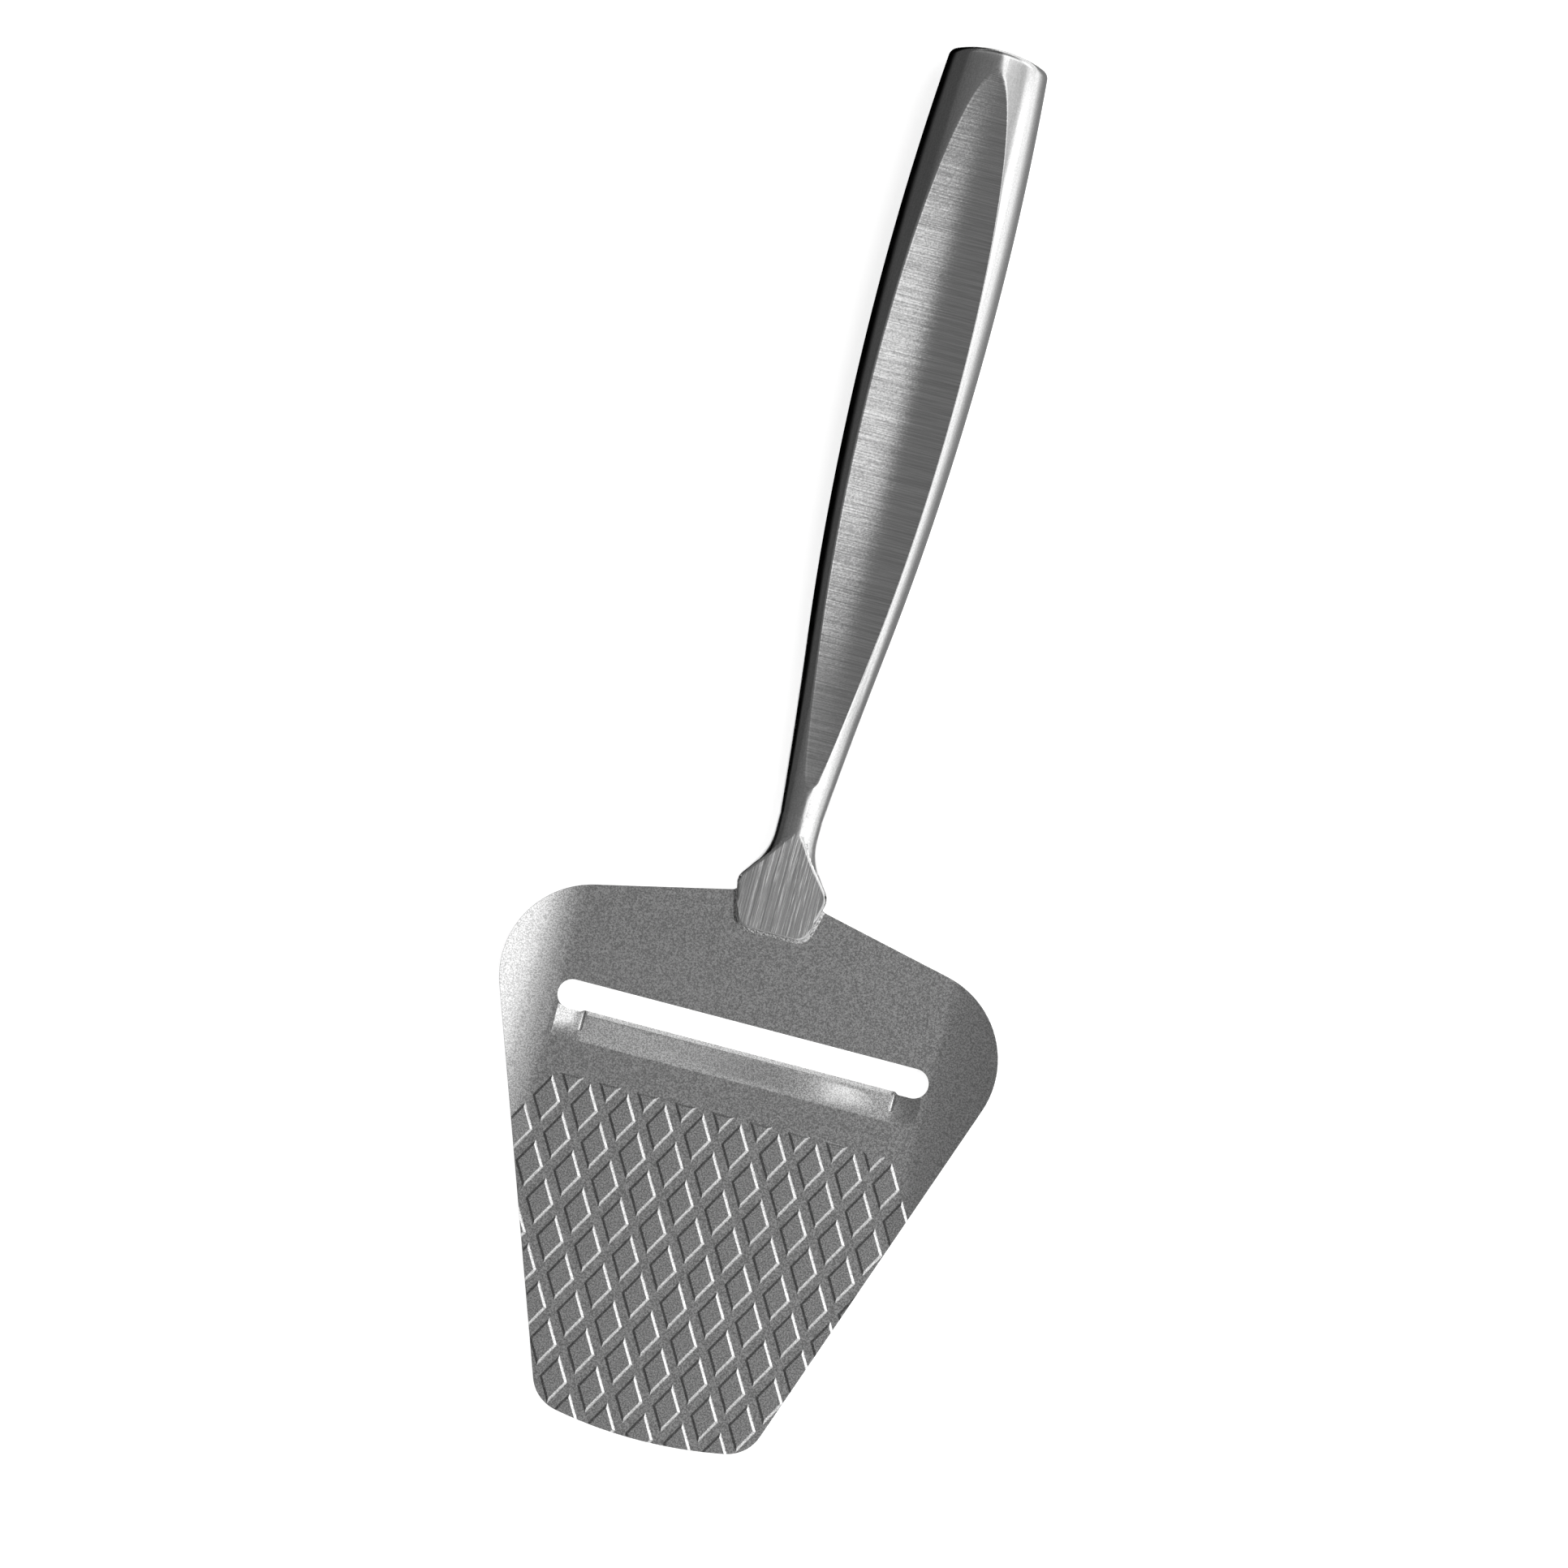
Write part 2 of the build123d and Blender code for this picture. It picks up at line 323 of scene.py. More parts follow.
@dataclass(frozen=True)
class Pattern:
    """Noise that stands for the marks which a tool has left.

    Attributes:
        size: Size of its largest marks in millimetres, across them.
        detail: Number of finer octaves.
        harshness: Strength of each finer octave.
        length: Length of the marks in millimetres where they are drawn out.
        run: How they run.
    """

    size: float
    detail: float = 3.0
    harshness: float = 0.5
    length: float = 0.0
    run: Run = Run.EVEN

    def draw(self, graph: Graph) -> Socket:
        """Draw the marks on the object.

        Args:
            graph: The material's node tree.

        Returns:
            The socket of a value from 0 to 1.
        """
        stretch = tuple(self.length / self.size if drawn else 1.0 for drawn in self.run.value)
        inputs = {"Scale": 1 / self.size, "Detail": self.detail, "Roughness": self.harshness}
        return graph.add("ShaderNodeTexNoise", None, Vector=graph.place(stretch), **inputs).outputs[0]


@dataclass(frozen=True)
class Steel:
    """Bare steel with a finish of its own.

    Attributes:
        name: The material's name.
        shade: Middle level of grey.
        roughness: Middle roughness.
    """

    name: str
    shade: float
    roughness: float

    def make(self) -> bpy.types.Material:
        """Build the material.

        Returns:
            The material.
        """
        material = bpy.data.materials.new(self.name)
        graph = Graph(material)
        graph.metal(*self.layers(graph))
        return material

    def layers(self, graph: Graph) -> Layers:
        """Shade, roughness and normal of the finish.

        Args:
            graph: The material's node tree.

        Returns:
            The three sockets.
        """
        raise NotImplementedError


@dataclass(frozen=True)
class BlastedSteel(Steel):
    """Satin of the blade: a fine even grain, blasted into the sheet.

    Lengths are in millimetres. The lip's two ends, which curve up to the sheet, mirror less
    of their slope than the rest. The relief's steep flanks carry painted shade.

    Attributes:
        grain: The grain.
        fine: The finer grain over it.
        grain_spread: How much the grain lightens and darkens.
        fine_spread: How much the finer grain does so.
        rough_spread: How much the grain changes the roughness.
        grain_depth: Depth of the grain.
        edge_radius: Rounding of the sheet's edges.
        steep: Cosines from straight up between which a flank of the relief turns level.
        flank_painted_shade: Share of its grey that a steep flank of the relief keeps, as painted shade.
        end_inside: Distances from the centre line over which a lip end comes in.
        end_outside: Distances over which it goes again, the farther one first.
        end_below: Places along the slicer over which it comes in above the fold.
        end_ease: How far a lip end is evened out.
    """

    name: str = "blasted_steel"
    shade: float = 0.57
    roughness: float = 0.16
    grain: Pattern = Pattern(size=0.26, detail=1.0, harshness=0.7)
    fine: Pattern = Pattern(size=0.26 / 3, detail=1.0)
    grain_spread: float = 0.3
    fine_spread: float = 0.1
    rough_spread: float = 0.15
    grain_depth: float = 0.0009
    edge_radius: float = 0.12
    steep: Span = (0.78, 0.95)
    # Painted shade: the relief's steep flanks keep only this share of the grey.
    flank_painted_shade: float = 0.92
    end_inside: Span = (25.9, 27.3)
    end_outside: Span = (32.4, 30.9)
    end_below: Span = (-59.5, -57.0)
    end_ease: float = 0.6

    def layers(self, graph: Graph) -> Layers:
        """Shade, roughness and normal of the finish.

        Args:
            graph: The material's node tree.

        Returns:
            The three sockets.
        """
        grain = self.grain.draw(graph)
        coarse = graph.around(grain, self.grain_spread)
        speckled = graph.math("MULTIPLY", coarse, graph.around(self.fine.draw(graph), self.fine_spread))
        # Painted shade: the relief's steep flanks are darkened by the way they face.
        lit = graph.blend(graph.facing(UP, *self.steep), self.flank_painted_shade * self.shade, self.shade)
        eased = graph.blend_vector(self.lip_ends(graph), graph.rounded(self.edge_radius), UP)
        normal = graph.vector("NORMALIZE", eased).outputs[0]
        return (
            graph.math("MULTIPLY", speckled, lit),
            graph.around(grain, self.rough_spread, self.roughness),
            graph.bump(grain, self.grain_depth * MM, normal),
        )

    def lip_ends(self, graph: Graph) -> Socket:
        """How far the surface is evened out, which is at the lip's two ends alone.

        Args:
            graph: The material's node tree.

        Returns:
            The share's socket.
        """
        parts = graph.parts(graph.place())
        aside = graph.math("ABSOLUTE", parts["X"])
        inside = graph.remap(aside, *self.end_inside)
        beside = graph.math("MULTIPLY", inside, graph.remap(aside, *self.end_outside))
        below = graph.math("MULTIPLY", graph.remap(parts["Y"], *self.end_below), beside)
        return graph.math("MULTIPLY", below, self.end_ease)


@dataclass(frozen=True)
class PolishedSteel(Steel):
    """Polish of the round sides, with a faint grain and hairlines along the handle.

    Attributes:
        hairs: The hairlines.
        grain: The grain.
        cloud: The wide patches in which the polish is duller or brighter.
        hair_spread: How much the hairlines lighten and darken.
        grain_spread: How much the grain does so.
        rough_spread: How much the patches change the roughness.
        grain_depth: Depth of the grain in millimetres.
    """

    name: str = "polished_steel"
    shade: float = 0.6
    roughness: float = 0.17
    hairs: Pattern = Pattern(size=0.2, detail=2.0, length=8.0, run=Run.ALONG)
    grain: Pattern = Pattern(size=0.3, detail=2.0)
    cloud: Pattern = Pattern(size=3.9)
    hair_spread: float = 0.05
    grain_spread: float = 0.08
    rough_spread: float = 0.15
    grain_depth: float = 0.0025

    def layers(self, graph: Graph) -> Layers:
        """Shade, roughness and normal of the finish.

        Args:
            graph: The material's node tree.

        Returns:
            The three sockets.
        """
        grain = self.grain.draw(graph)
        hairs = graph.around(self.hairs.draw(graph), self.hair_spread, self.shade)
        return (
            graph.math("MULTIPLY", hairs, graph.around(grain, self.grain_spread)),
            graph.around(self.cloud.draw(graph), self.rough_spread, self.roughness),
            graph.bump(grain, self.grain_depth * MM),
        )


@dataclass(frozen=True)
class PanelledSteel(PolishedSteel):
    """The handle's finish: polished sides and a panel brushed straight across.

    Lengths are in millimetres.

    Attributes:
        strokes: The brush's strokes.
        speckle: The grain between them.
        stroke_spread: How much the strokes lighten and darken.
        stroke_lean: How far they lean the surface sideways.
        stroke_depth: Depth of the strokes.
        panel_shade: Level of grey of the panel.
        panel_roughness: Roughness of the panel.
        edge_play: How far single strokes run past the panel's edge or stop short of it.
        edge_blur: Half the width over which one finish turns into the other.
    """

    name: str = "panelled_steel"
    strokes: Pattern = Pattern(size=0.26, detail=4.0, harshness=0.8, length=18.0, run=Run.ACROSS)
    speckle: Pattern = Pattern(size=0.3, detail=1.0)
    stroke_spread: float = 0.2
    stroke_lean: float = 0.07
    stroke_depth: float = 0.003
    panel_shade: float = 0.55
    panel_roughness: float = 0.13
    edge_play: float = 0.7
    edge_blur: float = 0.06

    def layers(self, graph: Graph) -> Layers:
        """Shade, roughness and normal of the finish.

        Args:
            graph: The material's node tree.

        Returns:
            The three sockets.
        """
        shade, roughness, normal = super().layers(graph)
        strokes = self.strokes.draw(graph)
        off = graph.math("SUBTRACT", strokes, MIDDLE)
        reach = graph.add("ShaderNodeAttribute", {"attribute_name": PANEL_REACH}).outputs["Fac"]
        played = graph.math("MULTIPLY_ADD", off, self.edge_play, reach)
        inside = graph.remap(played, -self.edge_blur, self.edge_blur)
        brushed = graph.around(strokes, self.stroke_spread, self.panel_shade)
        bumped = graph.bump(strokes, self.stroke_depth * MM, self.leaning(graph, off))
        return (
            graph.blend(inside, shade, brushed),
            graph.blend(inside, roughness, self.panel_roughness),
            graph.blend_vector(inside, normal, bumped),
        )

    def leaning(self, graph: Graph, off: Socket) -> Socket:
        """Normal of the panel, which each stroke leans to one side.

        Args:
            graph: The material's node tree.
            off: The strokes, less their middle.

        Returns:
            The normal's socket.
        """
        between = graph.math("SUBTRACT", self.speckle.draw(graph), MIDDLE)
        tilt = graph.math("MULTIPLY", graph.math("ADD", off, between), self.stroke_lean)
        lean = graph.add("ShaderNodeCombineXYZ", None, X=tilt).outputs[0]
        plain = graph.add("ShaderNodeNewGeometry").outputs["Normal"]
        return graph.vector("NORMALIZE", graph.vector("ADD", plain, lean).outputs[0]).outputs[0]


@dataclass(frozen=True)
class PalmSteel(PolishedSteel):
    """The shank's finish: a polished neck and a flat brushed coarsely along the handle.

    Lengths are in millimetres.

    Attributes:
        strokes: The brush's strokes.
        scratches: The single bright scratches among them.
        stroke_spread: How much the strokes lighten and darken.
        scratch_range: Values of the scratches' noise between which they brighten.
        scratch_gain: How much they brighten.
        flat_shade: Level of grey of the flat.
        flat_roughness: Roughness of the flat.
        flat_facing: Cosines from the flat's direction between which the finish turns into it.
        neck_depth: Depth of the strokes on the neck.
        flat_depth: Depth of the strokes on the flat.
    """

    name: str = "palm_steel"
    shade: float = 0.62
    roughness: float = 0.2
    strokes: Pattern = Pattern(size=0.25, detail=4.0, harshness=0.8, length=40.0, run=Run.ALONG_SLOPE)
    scratches: Pattern = Pattern(size=0.33, detail=3.0, harshness=0.8, length=14.0, run=Run.ALONG_SLOPE)
    stroke_spread: float = 0.34
    scratch_range: Span = (0.52, 0.64)
    scratch_gain: float = 0.95
    flat_shade: float = 0.43
    flat_roughness: float = 0.26
    flat_facing: Span = (0.985, 0.995)
    neck_depth: float = 0.002
    flat_depth: float = 0.012

    def layers(self, graph: Graph) -> Layers:
        """Shade, roughness and normal of the finish.

        Args:
            graph: The material's node tree.

        Returns:
            The three sockets.
        """
        shade, roughness, _ = super().layers(graph)
        strokes = self.strokes.draw(graph)
        inside = graph.facing(PALM_UP, *self.flat_facing)
        even = graph.around(strokes, self.stroke_spread, self.flat_shade)
        most = 1.0 + self.scratch_gain
        bright = graph.remap(self.scratches.draw(graph), *self.scratch_range, 1.0, most)
        brushed = graph.math("MULTIPLY", even, bright)
        return (
            graph.blend(inside, shade, brushed),
            graph.blend(inside, roughness, self.flat_roughness),
            graph.bump(strokes, graph.blend(inside, self.neck_depth * MM, self.flat_depth * MM)),
        )


@dataclass(frozen=True)
class WeldSteel(Steel):
    """Rough bright bead of the palm's weld.

    Attributes:
        lumps: The bead's lumps.
        shade_spread: How much they lighten and darken.
        rough_spread: How much they change the roughness.
        lump_depth: Their depth in millimetres.
    """

    name: str = "weld_steel"
    shade: float = 0.62
    roughness: float = 0.3
    lumps: Pattern = Pattern(size=0.4, detail=2.0)
    shade_spread: float = 0.5
    rough_spread: float = 0.4
    lump_depth: float = 0.25

    def layers(self, graph: Graph) -> Layers:
        """Shade, roughness and normal of the finish.

        Args:
            graph: The material's node tree.

        Returns:
            The three sockets.
        """
        lumps = self.lumps.draw(graph)
        return (
            graph.around(lumps, self.shade_spread, self.shade),
            graph.around(lumps, self.rough_spread, self.roughness),
            graph.bump(lumps, self.lump_depth * MM),
        )


@dataclass(frozen=True)
class Arc:
    """Round stretch of the meridian, as the circle that it lies on.

    Attributes:
        centre: Station along the axis and distance from it.
        radius: Radius of the circle.
        outward: 1 where the stretch lies beyond its centre, -1 where it lies below.
    """

    centre: Point
    radius: float
    outward: float

    @classmethod
    def tangent(cls, start: Point, slope: float, end: Point) -> "Arc":
        """Circle that passes one point with a slope and another point.

        Args:
            start: Station and distance from the axis where the slope is given.
            slope: Slope there.
            end: Station and distance from the axis of the other point.

        Returns:
            The arc.
        """
        scale = hypot(1.0, slope)
        side = (-slope / scale, 1.0 / scale)
        chord = (end[0] - start[0], end[1] - start[1])
        lean = chord[0] * side[0] + chord[1] * side[1]
        turn = (chord[0] ** 2 + chord[1] ** 2) / (2 * lean)
        centre = (start[0] + turn * side[0], start[1] + turn * side[1])
        return cls(centre, abs(turn), 1.0 if turn < 0 else -1.0)

    def height(self, station: float) -> float:
        """Distance from the axis at a station.

        Args:
            station: Place along the axis.

        Returns:
            The distance.
        """
        return self.centre[1] + self.outward * sqrt(self.radius**2 - (station - self.centre[0]) ** 2)

    def slope(self, station: float) -> float:
        """Slope of the meridian at a station.

        Args:
            station: Place along the axis.

        Returns:
            The slope.
        """
        away = station - self.centre[0]
        return -self.outward * away / sqrt(self.radius**2 - away**2)


@dataclass(frozen=True)
class Ring:
    """One row of the handle's mesh.

    Attributes:
        station: Place along the axis, on the centre line.
        crowned: How far the row follows the butt's crown, from 0 to 1.
        drawn_in: How far the corner's rounding draws it towards the axis.
        kept: Share of its width that the butt's end face leaves.
    """

    station: float
    crowned: float = 0.0
    drawn_in: float = 0.0
    kept: float = 1.0


@dataclass(frozen=True)
class Handle:
    """The hollow handle: two pressed halves with a flat panel on each face.

    Sizes are in millimetres, those of the solid. The swell is measured from the mouth, the
    belly from the butt. The panel's slight hollow and its soft edge are the mesh's own.

    Attributes:
        tip: Place of the blade's tip along the slicer.
        blade_length: Length of the blade from there to the edge of its tab.
        mouth_setback: Distance from there to the handle's mouth.
        axis_height: Height of the handle's axis at the mouth.
        length: Length along the handle's own axis.
        wall: Thickness of the pressed sheet.
        mouth_radius: Radius at the mouth.
        swell_station: Place where the handle begins to bulge.
        swell_radius: Radius there.
        belly_setback: Place of the thickest part.
        belly_radius: Radius there.
        crown_rise: Rise of the butt's crown.
        butt_radius: Radius where the crown begins.
        corner_radius: Rounding of the butt's rim.
        panel_mouth_height: Distance of the panel from the axis at the mouth.
        panel_butt_height: Distance of the panel from the axis at the butt.
        hollow_slope: Slope in degrees of the panel's two sides towards its shallow hollow.
        hollow_place: Distance of the hollow's floor from the centre line.
        hollow_blend: Distance over which the hollow's floor is rounded.
        panel_start: Station where the panel's grinding begins.
        run_out: Length over which the grinding runs out there.
        run_out_rise: Height that it runs out by, more than it cuts there.
        edge_blend: Height over which the panel's edge is softened.
        run_in: Length over which the rows come to follow the crown.
        end_play: How far the mesh stays short of the solid's end.
        least_corner: Least rounding of the hollow's rim at the butt.
        least_panel_share: Least width of the panel's part of a row, as a share of the round.
        stations: Number of rows from the mouth to the butt's rim.
        corner_steps: Number of rows round the butt's rim.
        end_steps: Number of rows over the butt's end face.
        side_steps: Number of points of a row between the seam and the panel.
        panel_steps: Number of points of a row between the panel's edge and its middle.
        side_crowding: How closely the points of the round crowd towards the panel.
        panel_crowding: How closely the points of the panel crowd towards its edge.
        sharp_angle: Angle in degrees from which an edge shows as sharp.
        merge: Distance within which points become one.
        finish: The handle's finish.
    """

    tip: float
    blade_length: float = 94.7
    mouth_setback: float = 12.84
    axis_height: float = 5.5
    length: float = 132.0
    wall: float = 0.9
    mouth_radius: float = 3.81
    swell_station: float = 29.0
    swell_radius: float = 6.72
    belly_setback: float = 43.2
    belly_radius: float = 10.09
    crown_rise: float = 1.9
    butt_radius: float = 8.4
    corner_radius: float = 1.0
    panel_mouth_height: float = 3.93
    panel_butt_height: float = 8.57
    hollow_slope: float = 4.2
    hollow_place: float = 0.9
    hollow_blend: float = 2.5
    panel_start: float = 4.6
    run_out: float = 2.0
    run_out_rise: float = 0.36
    edge_blend: float = 0.16
    run_in: float = 14.0
    end_play: float = 0.005
    least_corner: float = 0.09
    least_panel_share: float = 0.12
    stations: int = 130
    corner_steps: int = 8
    end_steps: int = 8
    side_steps: int = 18
    panel_steps: int = 15
    side_crowding: float = 1.6
    panel_crowding: float = 1.5
    sharp_angle: float = 50.0
    merge: float = 0.001
    finish: Steel = PanelledSteel()

    @property
    def butt_station(self) -> float:
        """Station where the crown begins at the handle's two sides."""
        return self.length - self.crown_rise

    @property
    def crown_radius(self) -> float:
        """Radius of the butt's crown, seen from above."""
        return (self.butt_radius**2 + self.crown_rise**2) / (2 * self.crown_rise)

    def pitch(self) -> float:
        """Angle at which the handle rises, so that its butt's lower panel touches the floor.

        Returns:
            The angle in radians.
        """
        reach = hypot(self.panel_butt_height, self.butt_station)
        return acos(self.axis_height / reach) - atan2(self.butt_station, self.panel_butt_height)

    def sag(self, x: float) -> float:
        """How far the crown falls back at a distance from the centre line.

        Args:
            x: The distance.

        Returns:
            The fall along the axis.
        """
        return self.crown_radius - sqrt(self.crown_radius**2 - x**2)

    def arcs(self, inset: float) -> list[tuple[float, Arc]]:
        """The meridian's round stretches, each with the station where it ends.

        Args:
            inset: Depth below the outside.

        Returns:
            The stretches from the mouth to the butt.
        """
        mouth = (0.0, self.mouth_radius - inset)
        swell = (self.swell_station, self.swell_radius - inset)
        belly = (self.length - self.belly_setback, self.belly_radius - inset)
        butt = (self.butt_station, self.butt_radius - inset)
        bulge = Arc.tangent(belly, 0.0, swell)
        lead = Arc.tangent(swell, bulge.slope(swell[0]), mouth)
        back = Arc.tangent(belly, 0.0, butt)
        return [(swell[0], lead), (belly[0], bulge), (butt[0], back)]

    def radius(self, station: float, arcs: list[tuple[float, Arc]]) -> float:
        """Radius of the round at a station, straight on behind the last arc.

        Args:
            station: Place along the axis.
            arcs: The meridian's stretches.

        Returns:
            The radius.
        """
        for end, arc in arcs:
            if station <= end:
                return arc.height(max(station, 0.0))
        return arc.height(end) + arc.slope(end) * (station - end)

    def rings(self, inset: float) -> list[Ring]:
        """Rows of the mesh from the mouth to the middle of the butt.

        Args:
            inset: Depth below the outside.

        Returns:
            The rows, as many for the hollow as for the outside.
        """
        end = self.length - self.end_play - inset
        corner = max(self.corner_radius - inset, self.least_corner)
        start = end - corner
        rings = []
        for i in range(self.stations):
            station = start * i / self.stations
            share = clamped((station - start) / self.run_in + 1)
            rings.append(Ring(station, share**2 * (3 - 2 * share)))
        for i in range(self.corner_steps + 1):
            angle = pi / 2 * i / self.corner_steps
            rings.append(Ring(start + corner * sin(angle), 1.0, corner * (1 - cos(angle))))
        for i in range(1, self.end_steps + 1):
            rings.append(Ring(end, 1.0, corner, 1 - i / self.end_steps))
        return rings

    def panel_height(self, station: float, inset: float) -> float:
        """Distance of the panel from the axis at a station.

        Args:
            station: Place along the axis.
            inset: Depth below the outside.

        Returns:
            The distance.
        """
        rise = (self.panel_butt_height - self.panel_mouth_height) / self.butt_station
        share = clamped((self.panel_start - station) / self.run_out + MIDDLE)
        return self.panel_mouth_height + rise * station + self.run_out_rise * share - inset

    def spread(self, radius: float, height: float) -> list[float]:
        """Distances across a row, from seam to seam, close together at the panel's edge.

        Args:
            radius: Radius of the round.
            height: Distance of the panel from the axis.

        Returns:
            The distances from the centre line, from one side to the other.
        """
        half_width = sqrt(max(radius**2 - height**2, 0.0))
        edge = max(half_width, self.least_panel_share * radius)
        edge_angle = asin(edge / radius)
        places = []
        for i in range(self.side_steps):
            share = 1 - (1 - i / self.side_steps) ** self.side_crowding
            places.append(radius * sin(pi / 2 + (edge_angle - pi / 2) * share))
        for i in range(self.panel_steps):
            places.append(edge * (1 - (i / self.panel_steps) ** self.panel_crowding))
        return places + [0.0] + [-x for x in reversed(places)]

    def hollow(self, x: float, half_width: float) -> float:
        """Depth of the panel's shallow hollow at a distance from the centre line.

        Args:
            x: The distance.
            half_width: Half the panel's width.

        Returns:
            The depth, none at the panel's edges and beyond them.
        """
        if abs(x) >= half_width:
            return 0.0
        blend = self.hollow_blend
        away = [(place - self.hollow_place) / blend for place in (-half_width, x, half_width)]
        left, here, right = (blend * log(cosh(each)) for each in away)
        edge = left + (right - left) * (x + half_width) / (2 * half_width)
        return max(edge - here, 0.0) * tan(radians(self.hollow_slope)) * half_width / self.swell_radius

    def lift(self, x: float, radius: float, height: float) -> float:
        """Height of the skin at a distance from the centre line: the round, cut by the panel.

        Args:
            x: The distance.
            radius: Radius of the round.
            height: Distance of the panel from the axis.

        Returns:
            The height above the axis.
        """
        round_height = sqrt(max(radius**2 - x**2, 0.0))
        flat = height - self.hollow(x, sqrt(max(radius**2 - height**2, 0.0)))
        share = clamped(MIDDLE + (round_height - flat) / (2 * self.edge_blend))
        soft = self.edge_blend * share * (1 - share) / 2
        return max(round_height + (flat - round_height) * share - soft, 0.0)

    def row(self, ring: Ring, inset: float) -> list[tuple[Vector, float]]:
        """One row of the skin, from seam to seam over the panel.

        Args:
            ring: The row.
            inset: Depth below the outside.

        Returns:
            Place of each point along the handle's own axes, and how far inside the panel it lies.
        """
        arcs = self.arcs(inset)
        nominal = self.radius(ring.station, arcs)
        points = []
        for x in self.spread(nominal, self.panel_height(ring.station, inset)):
            station = ring.station - ring.crowned * self.sag(x)
            radius = self.radius(station, arcs)
            height = self.panel_height(station, inset)
            out = x * radius / nominal
            scale = (1 - ring.drawn_in / radius) * ring.kept
            if abs(x) < nominal:
                z = self.lift(out, radius, height) * scale
            else:
                z = 0.0
            half_width = sqrt(max(radius**2 - height**2, 0.0))
            reach = half_width - abs(out) + min(radius - height, 0.0)
            y = ring.station - ring.crowned * self.sag(out * scale)
            points.append((Vector((out * scale, y, z)), reach))
        return points

    def build(self) -> None:
        """Make both halves."""
        finish = self.finish.make()
        for side in Side:
            self.half(side, finish)

    def half(self, side: Side, finish: bpy.types.Material) -> bpy.types.Object:
        """Make one half as a closed shell of even wall.

        Args:
            side: Which half.
            finish: The half's material.

        Returns:
            The new object.
        """
        mesh = bmesh.new()
        layer = mesh.verts.layers.float.new(PANEL_REACH)
        mouth = Vector((0.0, self.tip + self.blade_length + self.mouth_setback, self.axis_height))
        turn = Matrix.Translation(mouth) @ Matrix.Rotation(self.pitch(), 4, "X")
        skins = []
        for inset in (0.0, self.wall):
            skin = []
            for ring in self.rings(inset):
                line = []
                for place, reach in self.row(ring, inset):
                    place.z *= side.value
                    vert = mesh.verts.new(turn @ place * MM)
                    vert[layer] = reach
                    line.append(vert)
                skin.append(line)
            skins.append(skin)
        self.close(mesh, *skins)
        name = f"handle_{side.name.lower()}_half"
        data = bpy.data.meshes.new(name)
        mesh.to_mesh(data)
        mesh.free()
        data.set_sharp_from_angle(angle=radians(self.sharp_angle))
        data.materials.append(finish)
        half = bpy.data.objects.new(name, data)
        bpy.context.collection.objects.link(half)
        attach(half, "root")
        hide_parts(f"handle_{side.name.lower()}_shell")
        LOG.info("built %s", name)
        return half

    def close(self, mesh: bmesh.types.BMesh, outer: Skin, inner: Skin) -> None:
        """Span the faces of the two skins and join them along the seam and the mouth.

        Args:
            mesh: The mesh that holds the points.
            outer: Rows of points of the outside.
            inner: Rows of points of the hollow.
        """
        last = len(outer[0]) - 1
        for i in range(len(outer) - 1):
            for j in range(last):
                for skin in (outer, inner):
                    corners = (skin[i][j], skin[i][j + 1], skin[i + 1][j + 1], skin[i + 1][j])
                    mesh.faces.new(corners).smooth = True
            for j in (0, last):
                mesh.faces.new((outer[i][j], outer[i + 1][j], inner[i + 1][j], inner[i][j]))
        for j in range(last):
            mesh.faces.new((outer[0][j], inner[0][j], inner[0][j + 1], outer[0][j + 1]))
        bmesh.ops.remove_doubles(mesh, verts=mesh.verts, dist=self.merge * MM)
        bmesh.ops.recalc_face_normals(mesh, faces=mesh.faces)


@dataclass(frozen=True)
class Glow:
    """Level of light at a place.

    Attributes:
        place: For the sky an angle in degrees from straight up, below zero towards the left,
            and for a card a place along X in millimetres.
        level: The light's level, where 1 is white.
    """

    place: float
    level: float


@dataclass(frozen=True)
class Card:
    """Sheet of painted light or painted shade that only gloss sees, evenly lit or fading along X.

    Attributes:
        name: The card's name.
        low: One corner in millimetres.
        high: The opposite corner.
        fade: Two places along X with their levels, which hold outside them too.
    """

    name: str
    low: Place
    high: Place
    fade: tuple[Glow, Glow]


# Levels of the cards along X. The black set is painted shade, standing in for the shaded floor and room
# left of the handle; the pale and grey sets start dim beside the handle as painted shade of the floor
# there and rise to painted light.
DARK_PAINTED_SHADE = (Glow(-34.0, 0.09), Glow(-20.0, 0.0))
PALE = (Glow(14.0, 0.28), Glow(46.0, 1.5))
WHITE_ALL_OVER = (Glow(0.0, 1.9), Glow(1.0, 1.9))
DIM_ALL_OVER = (Glow(0.0, 0.35), Glow(1.0, 0.35))
GREY = (Glow(12.0, 0.3), Glow(60.0, 1.1))
BRIGHT = (Glow(25.5, 1.8), Glow(29.9, 1.0))


